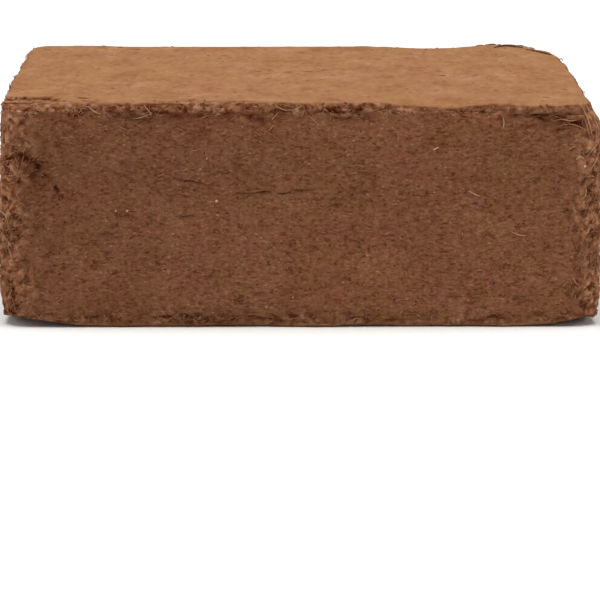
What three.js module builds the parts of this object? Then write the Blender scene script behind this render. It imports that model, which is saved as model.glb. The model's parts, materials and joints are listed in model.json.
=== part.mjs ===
// A pressed bale of coconut coir, in millimetres, +Z up, with its front wall facing -Y.
// Pith and fibre are squeezed into a square block. Its top and bottom are pressed flat, its walls show the
// layers, a torn band runs under each pressed edge, and its corners are shaggy and worn.
// The block is one closed skin: rings of points, one above the other, round a rounded square.
import * as THREE from 'three';
import { ImprovedNoise } from 'three/addons/math/ImprovedNoise.js';

// Driving dimensions
const WIDTH = 300;
const DEPTH = 298;
const HEIGHT = 112;
const FOOT_CORNER_RADIUS = 46;
const FLAT_FROM = 10;         // this far in from the outline, the top and the foot are pressed flat

// How finely a ring is divided: along each straight wall, and round each corner
const STRAIGHT_STEPS = 37;
const CORNER_STEPS = 6;
const SIDE_STEPS = STRAIGHT_STEPS + CORNER_STEPS;
const RING_POINTS = 4 * SIDE_STEPS;

// The profile of a wall, from the flat foot up to the flat top: height, and how far in from the outline
const PROFILE = [
  { z: 0, inset: 13, radius: FOOT_CORNER_RADIUS },
  { z: 0.5, inset: 2.8 },
  { z: 2.4, inset: 1.1 },
  { z: 5.4, inset: 1.7 },
  { z: 9, inset: 0.9 },
  { z: 14.5, inset: 0.5 },
  { z: 22, inset: 0.4 },
  { z: 30, inset: 0.3 },
  { z: 38.5, inset: 0.2 },
  { z: 47, inset: 0.1 },
  { z: 56, inset: 0 },
  { z: 65, inset: 0.1 },
  { z: 73.5, inset: 0.2 },
  { z: 81.5, inset: 0.3 },
  { z: 89, inset: 0.4 },
  { z: 95.5, inset: 0.6 },
  { z: 99.3, inset: 0.8 },
  { z: 102, inset: 1.1 },
  { z: 103.8, inset: 1.3 },
  { z: 105.6, inset: 1.6 },
  { z: 108.2, inset: 1.7 },
  { z: 110.2, inset: 1.3 },
  { z: 111.6, inset: 1.5 },
  { z: HEIGHT, inset: 3.2 },
  { z: HEIGHT, inset: 14 },
  { z: HEIGHT, inset: 26 },
  { z: HEIGHT, inset: 38 },
];

// Relief of the walls: how far it moves them, how long and how high its lumps are, and where its noise
// is read from
const LUMPS = { depth: 1.1, long: 40, high: 26, offset: 0 };
const LAYERS = { depth: 0.7, long: 30, high: 7, offset: 7.3 };
const TEARS = { depth: 2.4, long: 16, high: 4.5, offset: 3.1 };
const SHAG = { depth: 2.2, long: 12, high: 10, offset: 5.7 };
const SHAG_REACH = 20;        // how far the shag runs from a corner along each wall

// The torn band along the top and bottom of each wall: how far from the edge it is at full strength, where
// it has died out, how far it sinks, and how much of it the calmer left and right walls have
const TORN_BAND = { fullTo: 2.7, endsAt: 9, sink: 0.4, sideShare: 0.35 };

// The right wall rounds over into the top in a soft shoulder
const SHOULDER = { inset: 4.4, height: 13, power: 1.3 };

// Each corner, in the order that the outline meets them: its radius, how far the bottom edge curls up there,
// and how far the pressed top is worn back, each with its reach
const CORNERS = [
  { x: -1, y: -1, radius: 14, lift: 6.6, liftReach: 46, wear: 2, wearReach: 18 },
  { x: 1, y: -1, radius: 14, lift: 5.8, liftReach: 34, wear: 2, wearReach: 16 },
  { x: 1, y: 1, radius: 13, lift: 4.4, liftReach: 32, wear: 14, wearReach: 66 },
  { x: -1, y: 1, radius: 9, lift: 5.2, liftReach: 38, wear: 3, wearReach: 32 },
];
const LIFT_HEIGHT = 26;       // above this height the curl of the bottom edge has died out
const LIFT_POWER = 1.6;       // how suddenly it curls up
const WEAR_HEIGHT = 40;       // how far down a wall the wear of a top corner reaches

// Two thin layers have flaked off the top at its front left corner: where that begins, each step down, how
// long a step's riser is, and how far down the wall the drop is felt
const FLAKED = {
  x: -121,
  blend: 7,
  steps: [{ y: -111, drop: 1.1 }, { y: -134, drop: 1.3 }],
  riser: 4,
  height: 10,
};

// A ridge of matted fibre stands along the worn back right edge of the top, and rises between two depths
const BURR = { x: 122, halfLength: 22, fromY: 126, toY: 138, height: 1.1, foot: 2 };

const onFront = (x, z) => new THREE.Vector3(x, -DEPTH / 2, z);
const onRight = (y, z) => new THREE.Vector3(WIDTH / 2, y, z);
const onBack = (x, z) => new THREE.Vector3(x, DEPTH / 2, z);
const onLeft = (y, z) => new THREE.Vector3(-WIDTH / 2, y, z);

// Gashes, cracks and hollows: a line on a wall, how far the hollow spreads beside it and above it, and its
// depth
const HOLLOWS = [
  // gashes torn between the layers, under the right end of the front's top edge
  { from: onFront(106, 105.6), to: onFront(141, 105.6), spread: 5, high: 1.7, deep: 2.8 },
  { from: onFront(116, 102), to: onFront(140, 101.8), spread: 5, high: 1.6, deep: 2.8 },
  { from: onFront(-92, 106), to: onFront(-78, 106), spread: 7, high: 3, deep: 1.6 },
  { from: onFront(-64, 105.6), to: onFront(-42, 105.6), spread: 7, high: 3.5, deep: 2 },
  { from: onFront(20, 106), to: onFront(34, 106), spread: 6, high: 3, deep: 1.6 },
  // the dark hollow in the left end of the front, and the crack that runs on below it
  { from: onFront(-139, 89), to: onFront(-126, 73.5), spread: 11, high: 9, deep: 4 },
  { from: onFront(-137, 103), to: onFront(-133, 96), spread: 9, high: 7, deep: 2.2 },
  { from: onFront(-121, 72), to: onFront(-118, 64.5), spread: 7, high: 7, deep: 1.6 },
  // the right wall
  { from: onRight(-96, 104), to: onRight(-48, 105.6), spread: 6, high: 3, deep: 2.2 },
  { from: onRight(58, 9), to: onRight(104, 6), spread: 8, high: 4, deep: 2.4 },
  { from: onRight(118, 47), to: onRight(134, 30), spread: 8, high: 7, deep: 3 },
  // the back wall
  { from: onBack(34, 105.6), to: onBack(92, 104), spread: 6, high: 3, deep: 2.2 },
  { from: onBack(-139, 56), to: onBack(-126, 38.5), spread: 8, high: 7, deep: 3.2 },
  { from: onBack(-84, 5.4), to: onBack(-46, 7), spread: 7, high: 4, deep: 2 },
  // the left wall
  { from: onLeft(-2, HEIGHT), to: onLeft(9, HEIGHT), spread: 4, high: 5, deep: 1.3 },
  { from: onLeft(62, 102), to: onLeft(112, 104), spread: 6, high: 3, deep: 2.4 },
  { from: onLeft(-118, 30), to: onLeft(-98, 22), spread: 9, high: 6, deep: 2.6 },
];

const noise = new ImprovedNoise();
const smoothstep = THREE.MathUtils.smoothstep;

// Smooth noise with lumps of a given length and height, from -depth to depth
function relief({ depth, long, high, offset }, point) {
  return depth * noise.noise(point.x / long + offset, point.y / long - offset, point.z / high);
}

// A point of the outline, and the way out of the wall there. Steps run left to right along the front wall,
// round the corner, and on round the block
function outlinePoint(step, inset, levelRadius) {
  const side = Math.floor(step / SIDE_STEPS);
  const stepOnSide = step % SIDE_STEPS;
  const [along, across] = side % 2 ? [DEPTH, WIDTH] : [WIDTH, DEPTH];
  const lastRadius = levelRadius ?? CORNERS[side].radius;
  const radius = levelRadius ?? CORNERS[(side + 1) % CORNERS.length].radius;
  const startOfStraight = lastRadius + inset - along / 2;
  const endOfStraight = along / 2 - inset - radius;
  const point = new THREE.Vector3(0, -across / 2 + inset, 0);
  const outward = new THREE.Vector3(0, -1, 0);
  if (stepOnSide <= STRAIGHT_STEPS) {
    point.x = THREE.MathUtils.lerp(startOfStraight, endOfStraight, stepOnSide / STRAIGHT_STEPS);
  } else {
    const turned = ((stepOnSide - STRAIGHT_STEPS) / CORNER_STEPS) * (Math.PI / 2);
    outward.set(Math.sin(turned), -Math.cos(turned), 0);
    point.set(endOfStraight, -across / 2 + inset + radius, 0).addScaledVector(outward, radius);
  }
  const turnOfSide = (side * Math.PI) / 2;
  const up = new THREE.Vector3(0, 0, 1);
  return { point: point.applyAxisAngle(up, turnOfSide), outward: outward.applyAxisAngle(up, turnOfSide) };
}

// How near a point is to a corner: 1 at the corner, 0 at the given reach from it along either wall
function nearness(point, corner, reach) {
  const fromX = WIDTH / 2 - corner.x * point.x;
  const fromY = DEPTH / 2 - corner.y * point.y;
  return Math.max(0, 1 - Math.max(fromX, fromY) / reach);
}

// The inward push of the gashes and hollows at a point
function hollowDepth(point) {
  let deepest = 0;
  for (const hollow of HOLLOWS) {
    const line = new THREE.Line3(hollow.from, hollow.to);
    const onLine = line.closestPointToPoint(point, true, new THREE.Vector3());
    const beside = Math.hypot(point.x - onLine.x, point.y - onLine.y) / hollow.spread;
    const above = (point.z - onLine.z) / hollow.high;
    const within = Math.max(0, 1 - beside ** 2 - above ** 2);
    deepest = Math.max(deepest, hollow.deep * within);
  }
  return deepest;
}

// How far the walls are pushed out, or in where it is negative
function wallPush(point, outward) {
  const fromEdge = Math.min(point.z, HEIGHT - point.z);
  const share = THREE.MathUtils.lerp(1, TORN_BAND.sideShare, Math.abs(outward.x));
  const torn = share * (1 - smoothstep(fromEdge, TORN_BAND.fullTo, TORN_BAND.endsAt));
  const shag = Math.max(...CORNERS.map((corner) => nearness(point, corner, SHAG_REACH)));
  return relief(LUMPS, point) + relief(LAYERS, point) + torn * (relief(TEARS, point) - TORN_BAND.sink)
    + Math.sqrt(shag) * relief(SHAG, point) - shoulderInset(point, outward) - hollowDepth(point);
}

// The soft shoulder of the right wall
function shoulderInset(point, outward) {
  const upShoulder = Math.max(0, point.z - HEIGHT + SHOULDER.height) / SHOULDER.height;
  return SHOULDER.inset * Math.max(0, outward.x) * upShoulder ** SHOULDER.power;
}

// How far the top corners are worn back: the side wall beside the corner gives way
function cornerWear(point) {
  const downTo = smoothstep(point.z, HEIGHT - WEAR_HEIGHT, HEIGHT);
  let back = 0;
  for (const corner of CORNERS) {
    const fromCorner = DEPTH / 2 - corner.y * point.y;
    const along = Math.max(0, 1 - fromCorner / corner.wearReach);
    const outTo = Math.max(0, corner.x * point.x) / (WIDTH / 2);
    back -= corner.x * corner.wear * along ** 2 * outTo ** 2 * downTo;
  }
  return back;
}

// How far up the bottom edge has curled at the corners
function cornerLift(point) {
  const dying = Math.max(0, 1 - point.z / LIFT_HEIGHT);
  const liftAt = (corner) => corner.lift * nearness(point, corner, corner.liftReach) ** LIFT_POWER;
  return Math.max(...CORNERS.map(liftAt)) * dying;
}

// How far the top has dropped where its layers have flaked off
function flakedDrop(point) {
  const beside = smoothstep(-point.x, -FLAKED.x - FLAKED.blend, -FLAKED.x + FLAKED.blend);
  let drop = 0;
  for (const step of FLAKED.steps) {
    drop += step.drop * smoothstep(-point.y, -step.y, -step.y + FLAKED.riser);
  }
  return drop * beside * smoothstep(point.z, HEIGHT - FLAKED.height, HEIGHT);
}

// How high the ridge of matted fibre stands
function burrHeight(point) {
  const along = Math.max(0, 1 - ((point.x - BURR.x) / BURR.halfLength) ** 2);
  const across = smoothstep(point.y, BURR.fromY, BURR.toY);
  return BURR.height * along * across * smoothstep(point.z, HEIGHT - BURR.foot, HEIGHT);
}

// One point of the skin: on the profile, then pushed, worn, curled up or dropped
function skinPoint(level, step) {
  const { z, inset, radius } = PROFILE[level];
  const { point, outward } = outlinePoint(step, inset, radius);
  point.z = z;
  const isFlat = level === 0 || level === PROFILE.length - 1;
  if (isFlat) {
    return point;
  }
  const push = inset < FLAT_FROM ? wallPush(point, outward) : 0;
  const rise = cornerLift(point) + burrHeight(point) - flakedDrop(point);
  const back = cornerWear(point);
  point.addScaledVector(outward, push);
  point.x += back;
  point.z += rise;
  return point;
}

// The faces: a strip between each ring and the one above it, and a fan over the foot and over the top
function baleGeometry() {
  const positions = [];
  const faces = [];
  for (let level = 0; level < PROFILE.length; level++) {
    for (let step = 0; step < RING_POINTS; step++) {
      positions.push(...skinPoint(level, step).toArray());
    }
  }
  const centre = new THREE.Vector3(11, 7, 0);
  const footCentre = positions.length / 3;
  positions.push(...centre.toArray());
  const topCentre = footCentre + 1;
  positions.push(...centre.setZ(HEIGHT).toArray());

  const lastRing = (PROFILE.length - 1) * RING_POINTS;
  for (let step = 0; step < RING_POINTS; step++) {
    const next = (step + 1) % RING_POINTS;
    for (let ring = 0; ring < lastRing; ring += RING_POINTS) {
      const above = ring + RING_POINTS;
      faces.push(ring + step, ring + next, above + next, ring + step, above + next, above + step);
    }
    faces.push(footCentre, next, step);
    faces.push(topCentre, lastRing + step, lastRing + next);
  }

  const geometry = new THREE.BufferGeometry();
  geometry.setAttribute('position', new THREE.Float32BufferAttribute(positions, 3));
  geometry.setIndex(faces);
  return geometry;
}

// The relief moves the walls a little, so the block is centred and brought back to its stated width and
// depth
function fitted(geometry) {
  geometry.computeBoundingBox();
  const size = geometry.boundingBox.getSize(new THREE.Vector3());
  const middle = geometry.boundingBox.getCenter(new THREE.Vector3());
  geometry.translate(-middle.x, -middle.y, 0);
  geometry.scale(WIDTH / size.x, DEPTH / size.y, 1);
  geometry.computeVertexNormals();
  return geometry;
}

const coir = new THREE.MeshStandardMaterial({ color: '#7a4f35', roughness: 1, metalness: 0 });
const bale = new THREE.Mesh(fitted(baleGeometry()), coir);
bale.name = 'coir_bale';

const part = new THREE.Group();
part.name = 'coconut_coir_bale';
part.add(bale);
export default part;
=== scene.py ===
"""A pressed bale of coconut coir on a pale floor, in soft overhead light, seen from just above its front."""

import json
import math

import bmesh
import bpy
import numpy as np
from mathutils import Matrix, Vector, noise
from mathutils.bvhtree import BVHTree
from mathutils.geometry import delaunay_2d_cdt


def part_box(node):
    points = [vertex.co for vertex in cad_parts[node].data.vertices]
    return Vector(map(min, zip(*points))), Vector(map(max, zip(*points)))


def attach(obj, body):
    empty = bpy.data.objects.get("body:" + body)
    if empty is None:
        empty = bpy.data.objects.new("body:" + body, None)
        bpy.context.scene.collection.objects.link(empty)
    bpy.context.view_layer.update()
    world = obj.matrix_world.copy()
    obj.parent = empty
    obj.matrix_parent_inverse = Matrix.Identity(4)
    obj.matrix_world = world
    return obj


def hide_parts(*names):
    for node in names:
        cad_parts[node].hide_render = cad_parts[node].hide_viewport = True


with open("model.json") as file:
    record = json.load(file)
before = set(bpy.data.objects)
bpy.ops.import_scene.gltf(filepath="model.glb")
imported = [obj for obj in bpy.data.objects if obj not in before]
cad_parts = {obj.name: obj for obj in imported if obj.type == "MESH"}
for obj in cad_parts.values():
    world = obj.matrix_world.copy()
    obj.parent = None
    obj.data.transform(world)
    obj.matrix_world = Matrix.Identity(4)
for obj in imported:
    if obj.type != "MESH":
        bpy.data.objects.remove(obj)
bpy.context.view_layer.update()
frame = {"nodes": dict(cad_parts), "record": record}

NODE = "coir_bale"
BODY = "root"
MM = 0.001

# The bale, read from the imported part, in metres
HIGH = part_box(NODE)[1]
TOP = next(mount["pos_m"][2] for mount in frame["record"]["mounts"] if mount["name"] == "top")
CORNER = 14 * MM

# How finely the skin is divided
COLUMN_WIDTH = 1.7 * MM
CORNER_COLUMN = 1.15 * MM
CORNER_REACH = 16 * MM         # the columns are finer this far from the vertical corners' arcs
WALL_ROW = 1.35 * MM
RIM = 6 * MM                   # the pressed edges are followed by rays that fan out from this far inside them
RIM_ROW = 0.85 * MM
FACE_ROW = RIM_ROW * 1.6       # the rows on the top and underside, before the plain triangles
FINE_REACH = 6 * MM            # the wall's rows are finer this far from the rims
FINE_ROW = 0.9 * MM
FLAT_INSET = 11 * MM           # further in than this, the pressed faces are filled with plain triangles
FLAT_GRID = 7 * MM
FINE_GRID = 1.3 * MM
GRID_SHAKE = 0.5               # how far each of their points strays, in steps of its grid
GRID_CLEAR = 0.3               # how much nearer the middle than the rows the grid ends, in steps too
JOIN = 0.001 * MM              # corners of the solid's loose triangles nearer together than this are one
WELD = 0.0001 * MM             # and so are points of the flat faces
CAST_REACH = 14 * MM           # rays towards the solid start this far outside its outline
EASE = 0.3                     # how far each point moves towards its neighbours' middle in a round of easing
EASE_ROUNDS = 3
KEEN_TILT = 0.3                # within this of the pressed edges' tilt, in radians, the rows are eased less


def smoothstep(low, high, value):
    """0 below low, 1 above high, and smooth between."""
    share = min(1.0, max(0.0, (value - low) / (high - low)))
    return share * share * (3 - 2 * share)


def linear(hex_colour):
    """An sRGB hex colour as linear RGBA."""
    channels = [int(hex_colour[i:i + 2], 16) / 255 for i in (1, 3, 5)]
    return [c / 12.92 if c <= 0.04045 else ((c + 0.055) / 1.055) ** 2.4 for c in channels] + [1.0]


def per_mm(*sizes):
    """Texture scales, on coordinates in metres, for patterns of these sizes in millimetres."""
    scales = [1 / (size * MM) for size in sizes]
    return scales[0] if len(scales) == 1 else scales


NODE_FAMILIES = ("ShaderNode", "GeometryNode", "FunctionNode", "")


def add(tree, kind, inputs=(), out=0, stops=(), **settings):
    """Add a node with its settings and return one of its outputs. An input takes a value or an output, and
    the stops are a colour ramp's places and colours."""
    names = (family + kind for family in NODE_FAMILIES)
    node = tree.nodes.new(next(name for name in names if hasattr(bpy.types, name)))
    for name, value in settings.items():
        setattr(node, name, value)
    for key, value in dict(inputs).items():
        if isinstance(value, bpy.types.NodeSocket):
            tree.links.new(value, node.inputs[key])
        else:
            node.inputs[key].default_value = value
    for number, (place, colour) in enumerate(stops):
        if number >= len(node.color_ramp.elements):
            node.color_ramp.elements.new(place)
        node.color_ramp.elements[number].position = place
        node.color_ramp.elements[number].color = linear(colour)
    return node.outputs[out] if node.outputs else None


# The skin: a fine grid laid over the solid

def outline_point(run):
    """The point that far round the bale's outline from the front's left end, and the way out of it there."""
    straights = (2 * (HIGH.x - CORNER), 2 * (HIGH.y - CORNER))
    arc = math.pi / 2 * CORNER
    side = 0
    while run > straights[side % 2] + arc:
        run -= straights[side % 2] + arc
        side += 1
    straight = straights[side % 2]
    across = (HIGH.y, HIGH.x)[side % 2]
    turned = max(0.0, run - straight) / CORNER
    out = Vector((math.sin(turned), -math.cos(turned), 0))
    point = Vector((min(run, straight) - straight / 2, CORNER - across, 0)) + out * CORNER
    turn = Matrix.Rotation(side * math.pi / 2, 3, "Z")
    return turn @ point, turn @ out


def spaced(start, end, step):
    """Values from start up to, but not with, end, about a step apart."""
    count = round(abs(end - start) / step)
    return [start + (end - start) * i / count for i in range(count)]


def columns():
    """How far round the outline each column of the skin is, closer together at the vertical corners."""
    runs = []
    start = 0.0
    for half in (HIGH.x, HIGH.y, HIGH.x, HIGH.y):
        straight = 2 * (half - CORNER)
        end = start + straight
        runs += spaced(start, start + CORNER_REACH, CORNER_COLUMN)
        runs += spaced(start + CORNER_REACH, end - CORNER_REACH, COLUMN_WIDTH)
        runs += spaced(end - CORNER_REACH, end + math.pi / 2 * CORNER, CORNER_COLUMN)
        start = end + math.pi / 2 * CORNER
    return runs


def rim_rows(height, tilts):
    """The rows round a pressed edge, by the height that their rays fan out from and their tilts."""
    return [(RIM - RIM * math.cos(tilt), height + RIM * math.sin(tilt), tilt) for tilt in tilts]


def profile():
    """The skin's rows from under the bale up onto the top: inset, height and tilt of the way out."""
    quarter = math.pi / 2
    fan = [math.atan(u) for u in spaced(0, 1, RIM_ROW / RIM)]
    fan += [quarter - math.atan(u) for u in spaced(1, 0, RIM_ROW / RIM)]
    rows = [(inset, 0, -quarter) for inset in spaced(FLAT_INSET, RIM, FACE_ROW)]
    rows += rim_rows(RIM, [tilt - quarter for tilt in fan])
    heights = spaced(RIM, RIM + FINE_REACH, FINE_ROW)
    heights += spaced(RIM + FINE_REACH, TOP - RIM - FINE_REACH, WALL_ROW)
    heights += spaced(TOP - RIM - FINE_REACH, TOP - RIM, FINE_ROW)
    rows += [(0, z, 0) for z in heights]
    rows += rim_rows(TOP - RIM, fan)
    rows += [(inset, TOP, quarter) for inset in spaced(RIM, FLAT_INSET + RIM_ROW, FACE_ROW)]
    return rows


def merged_solid():
    """The solid's own mesh with its loose triangles joined, to be measured and never shown."""
    solid = bmesh.new()
    solid.from_mesh(frame["nodes"][NODE].data)
    bmesh.ops.remove_doubles(solid, verts=solid.verts, dist=JOIN)
    tree = BVHTree.FromBMesh(solid)
    solid.free()
    return tree


def lay_grid(solid, rows):
    """Rows and columns of points cast onto the solid, and the way out of the bale at each."""
    outline = [outline_point(run) for run in columns()]
    points = np.empty((len(rows), len(outline), 3))
    outs = np.empty((len(rows), len(outline), 3))
    for r, (inset, z, tilt) in enumerate(rows):
        for c, (edge, out) in enumerate(outline):
            way = out * math.cos(tilt) + Vector((0, 0, math.sin(tilt)))
            start = edge - out * inset + Vector((0, 0, z)) + way * CAST_REACH
            hit = solid.ray_cast(start, -way, 3 * CAST_REACH)[0]
            points[r, c] = hit if hit else solid.find_nearest(start)[0]
            outs[r, c] = way
    return points, outs


def soften(points, rows):
    """Ease the solid's flat facets into each other, but keep the pressed edges sharp."""
    from_edge = np.array([abs(abs(tilt) - math.pi / 4) for _, _, tilt in rows])
    ease = EASE * np.clip(from_edge / KEEN_TILT, 0, 1)[:, None, None]
    for _ in range(EASE_ROUNDS):
        around = (np.roll(points, 1, axis=1) + np.roll(points, -1, axis=1)) / 2
        along = points.copy()
        along[1:-1] = (points[:-2] + points[2:]) / 2
        eased = points * (1 - EASE - ease) + around * EASE + along * ease
        eased[0], eased[-1] = points[0], points[-1]
        points = eased
    return points


def grid_normals(points):
    """The way each point of the grid faces."""
    around = np.roll(points, -1, axis=1) - np.roll(points, 1, axis=1)
    along = np.gradient(points, axis=0)
    normals = np.cross(around, along)
    return normals / np.linalg.norm(normals, axis=2, keepdims=True)


# Relief in millimetres: how far each kind of roughness moves the skin, and how long, deep and high it is
BROAD = {"depth": 0.40, "long": 34.0, "high": 13.0, "shift": 2.4}
MAT = {"depth": 0.30, "long": 6.0, "high": 3.2, "shift": 5.1}
GRAIN = {"depth": 0.22, "long": 2.6, "high": 1.9, "shift": 7.7}
FACE_MAT = dict(MAT, depth=0.10)                         # the pressed faces are far smoother
FACE_BROAD = dict(BROAD, depth=0.25, long=60.0)
SPLIT = {"depth": 0.30, "long": 4.0, "high": 1.5, "shift": 12.2, "from": 0.42, "to": 0.75}
GAP = {"depth": 1.6, "long": 6.5, "high": 2.6, "shift": 9.9, "from": -0.10, "to": 0.38}
PIT = {"depth": 1.0, "long": 3.4, "high": 3.4, "shift": 3.3, "from": 0.02, "to": 0.42}
CLOD = {"depth": 0.9, "long": 3.2, "high": 2.8, "shift": 1.7}
CHIP = {"depth": 1.5, "long": 5.5, "high": 5.5, "shift": 15.0, "common": 0.12}
FRINGE = {"long": 14.0, "high": 14.0, "shift": 6.3}      # how the torn parts' borders wander, broadly
FRINGE_FINE = {"long": 3.6, "high": 3.6, "shift": 8.8}   # and closely

# The torn band along each pressed edge, and the shaggy strip along each vertical corner: how far from the
# edge each is whole, where it ends, and how far its border wanders, broadly and closely
BAND = {"full": 2.2, "end": 7.6, "wander": (4.5, 2.2)}
SHAG = {"full": 3.0, "end": 22.0, "wander": (7.0, 4.0)}
SHAG_SWELL = 0.9                      # how far the shaggy strips stand proud of the walls
CALM_SIDES = 0.45                     # how strong the torn band is on the side walls
CALM_BACK, FEW_BITES = 0.5, 0.6       # how much weaker the band and the bites out of its edge are at the back
PITS_IN_BAND = 0.35                   # how common pits are in the band, against the shaggy strips

# From where the way out of the bale counts as up, as a wall's and as an upright wall's; how level it is in
# the middle of a pressed edge, and how much either side of that is edge; and where walls turn to the rear
UP, WALL, UPRIGHT = 0.3, 0.6, 0.9
EDGE, EDGE_SPREAD = 0.707, 0.13
REAR = (-0.3, 0.3)

# Cracks, gashes and hollows in each wall, in millimetres: where each starts and ends along it and up it, half
# its height, and its depth
CRACKS = {
    "front": [
        ((-121, 70.5), (-118, 65), 0.9, 1.1), ((-143, 88.5), (-136, 86), 2.0, 1.1),
        ((-137.5, 86.5), (-129.5, 80), 2.2, 1.6), ((-128, 77), (-123, 73.6), 1.8, 0.8),
        ((-142, 87.5), (-131, 79), 6.5, 0.8), ((-147, 79), (-145, 76), 4.0, 0.9),
        ((-137, 101), (-139, 95), 2.6, 0.4), ((-145, 78), (-140, 70), 5.0, 0.6),
        ((-146.5, 22), (-141.5, 10), 5.0, 0.7), ((-146, 38), (-142, 28), 4.5, 0.4),
        ((142, 88), (146, 80), 4.0, 0.35), ((142, 68), (147, 60), 4.0, 0.35),
        ((106, 106), (123, 106.6), 0.9, 0.6), ((121, 106.6), (131, 107.8), 0.8, 0.6),
        ((130, 108), (136, 105.6), 1.8, 0.7), ((116, 103.8), (128, 103), 1.3, 1.3),
        ((128, 103), (139.4, 101), 1.7, 1.3), ((126, 98.6), (138, 97.8), 0.8, 0.6),
        ((-25, 104.5), (-15, 102), 2.6, 0.7), ((-111, 110), (-101, 109.6), 1.5, 0.7),
        ((-94, 108), (-90, 106.6), 1.8, 1.0), ((-78, 108.6), (-66, 107.6), 1.5, 0.9),
        ((8, 109), (18, 108.4), 1.4, 0.7), ((-110, 34), (-92, 34.6), 0.8, 0.3),
        ((60, 92), (84, 91.4), 0.8, 0.3), ((30, 40), (58, 40.5), 0.8, 0.3), ((84, 74), (120, 73), 0.8, 0.3)],
    "right": [
        ((-100, 88), (-62, 87), 0.9, 0.9), ((-30, 52), (6, 53), 0.9, 0.9), ((40, 31), (78, 30), 0.9, 0.8),
        ((-80, 18), (-52, 18.6), 0.9, 0.9)],
    "back": [
        ((-110, 92), (-70, 90), 0.9, 0.9), ((-20, 73), (24, 74), 1.0, 1.1), ((60, 44), (96, 43), 0.9, 0.8),
        ((88, 20), (118, 21), 0.9, 0.9)],
    "left": [
        ((-118, 84), (-84, 85), 0.9, 0.9), ((-20, 56), (26, 55), 0.9, 1.0), ((46, 36), (88, 37), 0.9, 0.9),
        ((-64, 22), (-30, 22.4), 0.9, 0.8), ((90, 66), (116, 65), 0.9, 0.8)],
}
WALLS = {"front": (0, -1), "right": (1, 0), "back": (0, 1), "left": (-1, 0)}
# How far a crack wanders up and down, over what length, how deep it is at least and as a rule, how much its
# depth varies, and the depth at which its painted shade is full
CRACK = {"wander": 0.9, "wave": 6.0, "shift": 4.2, "least": 0.1, "usual": 0.85, "swing": 1.7, "dark": 1.4}

# How far back the top is torn from its front edge, in millimetres: along that edge, and back from it
FRAY = [(-150, 38), (-127, 36.5), (-118, 22), (-111, 8), (-100, 3), (-76, 4), (-70, 11), (-26, 11), (-20, 5),
        (10, 4), (46, 5), (52, -4), (98, -4), (108, 0), (128, -1), (140, 0), (150, 3)]
SIDE_FRAY = 1.6                       # and from its other edges
# How the torn part's border wanders and fades in, how it fades in over the rounded edge, and where the paler
# upper layer in it starts, stops and ends to the right
TEAR = {"wander": (2.2, 1.8), "border": (-0.5, 1.0), "rounding": (0.3, 0.55), "upper": (1.0, 4.0),
        "upper end": (15, 21), "upper right": (-124, -114)}
TEAR_SUNK, TEAR_ROUGH, UPPER_SMOOTHER = 0.6, 0.7, 0.35   # its depth and roughness, less on that layer
# Steps in the torn part and small tears behind it, lowered and with painted shade at their feet: where each
# runs from and to, and half its width
STEPS = [((-146, -131), (-134, -126), 3.4), ((-134, -126), (-129, -128), 3.4),
         ((-144.5, -117.5), (-139.8, -113), 3.4), ((-139.8, -113), (-126, -114.8), 3.4),
         ((-126, -114.8), (-122, -124), 3.4), ((-110.5, -119), (-106, -126), 2.8),
         ((-107, -134), (-101.5, -140.5), 2.8)]
STEP = {"depth": 0.7, "wander": 0.6, "usual": 1.3, "swing": 2.2}
FINE_PATCHES = [(-139, -98, -138, -104)]       # x from, x to, y from, y to on top
# Where the top swells and sags: the middle of each place, how far it reaches, and how high it is
SWELLS = [((-122, 140), 42, 0.7), ((76, 149), 36, -1.0), ((70, -149), 36, -1.7), ((122, -149), 34, -1.2),
          ((-20, -149), 40, 0.2)]
SWELL_FADE = (8, 1)                   # how far below the top the swells fade in
# How much painted shade darkens the torn band under the front's top edge, along that edge, where a value
# below 0 takes painted shade away, and how far down that fades out
SHADED = [(-150, 0.1), (-128, 0.15), (-121, 0.0), (-115, -0.4), (-106, -0.1), (-88, -0.05), (-78, 0.4),
          (-44, 0.5), (-26, 0.5), (-4, 0.05), (6, -0.2), (34, 0.3), (46, -0.05), (64, -0.35), (96, -0.5),
          (106, -0.3), (126, -0.2), (144, -0.4)]
SHADED_FADE = (8.5, 5.5)
# Where the burr of dark fibres stands at the top's far right corner, by the edge's tilt and by place
BURR = {"tilt": (0.05, 0.3), "x": (98, 110), "y": (116, 124)}
# The pressed finish: how far the skin has to face up or down for it, how far down over an edge it reaches,
# and how much further over the soft right shoulder, less so near its front; how both stray; and how much of
# it the torn part takes away, less so on its upper layer
PRESSED = {"facing": ((0.54, -0.9), (0.77, -0.8)), "down": ((0.9, 6), (2.0, 10)),
           "shoulder front": (-125, -95), "shoulder less": 0.75, "facing strays": 0.2, "down strays": 0.8,
           "torn off": 0.85, "upper stays": 0.45}
# How much painted shade each kind of hollow puts on the skin; the torn band under the front's top edge, the
# steps' feet, chips, the burr and up-facing torn parts get it too. The lowest part lies in shadow already, so
# it gets less.
SHADE_SHARES = {"gap": 0.9, "pit": 1.0, "split": 0.35, "crack": 1.0, "foot": 1.0, "bitten": 0.3, "burr": 0.6,
        "shaded": 1.0, "low": -0.5, "edge": 0.38}
LOW = (1, 7)
# painted shade on the torn parts, more the more they face up
FACES_UP = (0.0, 0.6)
FRONT = -0.5                          # the front wall's way out is below this
# How many fewer fibres and crumbs lie in hollows and on pressed parts, crumbs on edges, and wall fibres where
# the wall is torn; and how many crumbs and edge fibres lie on the torn top
FEWER = {"bare": 0.85, "edge": 0.7, "torn wall": 0.6}
ON_TOP = {"crumbled": 0.2, "band": 0.25}


def rough(kind, point):
    """Smooth noise from about -1 to 1 at a point in millimetres."""
    shift = kind["shift"]
    return noise.noise(Vector((point.x / kind["long"] + shift, point.y / kind["long"] - shift,
                               point.z / kind["high"] + shift)))


def opened(kind, point):
    """0 where a kind of hole is absent and 1 where it is fully open."""
    return smoothstep(kind["from"], kind["to"], rough(kind, point))


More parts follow.
